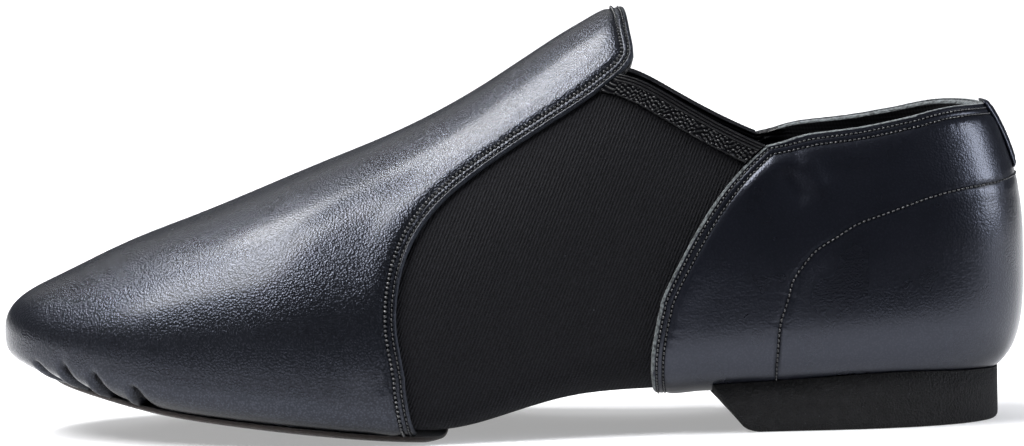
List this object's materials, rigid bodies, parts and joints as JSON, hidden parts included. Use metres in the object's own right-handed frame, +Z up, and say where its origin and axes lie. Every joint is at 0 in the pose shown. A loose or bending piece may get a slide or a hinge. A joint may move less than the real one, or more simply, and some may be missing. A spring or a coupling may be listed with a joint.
{
  "type": "jazz shoe",
  "caption": "Black slip-on jazz dance shoe for the left foot: smooth leather vamp and quarter, stretch gores with elastic-edged collar, thin forefoot pad and low heel block.",
  "frame": {"origin": "on the floor, under the middle of the shoe's length and width", "axes": "+X toward the heel, +Y toward the inner (medial) side, +Z up"},
  "size_m": [0.2504, 0.0885, 0.1021],
  "materials": {
    "gore_cloth": "matt fine-ribbed stretch cloth",
    "upper_leather": "satin fine-grained leather",
    "elastic": "matt ribbed elastic",
    "insole_cloth": "matt lining cloth",
    "suede": "matt suede",
    "heel_rubber": "matt rubber"
  },
  "bodies": {
    "root": {"upper": "gore_cloth", "vamp": "upper_leather", "quarter": "upper_leather", "back_strip": "upper_leather", "elastic_lateral": "elastic", "elastic_medial": "elastic", "insole": "insole_cloth", "forefoot_sole": "suede", "heel": "heel_rubber"}
  },
  "joints": []
}
